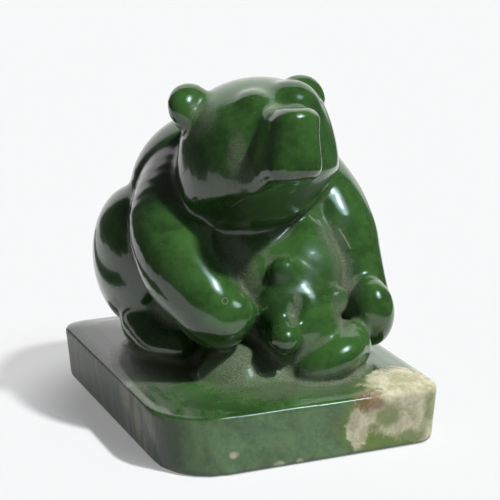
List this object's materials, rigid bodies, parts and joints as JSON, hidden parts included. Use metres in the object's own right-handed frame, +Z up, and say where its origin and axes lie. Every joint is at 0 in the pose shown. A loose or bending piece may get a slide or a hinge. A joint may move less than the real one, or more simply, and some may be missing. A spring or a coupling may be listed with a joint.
{
  "type": "jade bear and cub carving",
  "caption": "Seated bear bending over and holding a cub, carved with its squared slab base from one block of dark green jade.",
  "frame": {"origin": "centre of the slab's flat underside, on the surface the carving stands on", "axes": "+Z up, +Y towards the bear's back (the bear faces -Y), +X to the bear's left"},
  "size_m": [0.0785, 0.0907, 0.0942],
  "materials": {
    "jade": "polished dark green nephrite with a cream rind patch on the slab's front corner and unpolished dusty grooves"
  },
  "bodies": {
    "root": {"bear_and_cub_carving": "jade"}
  },
  "joints": []
}
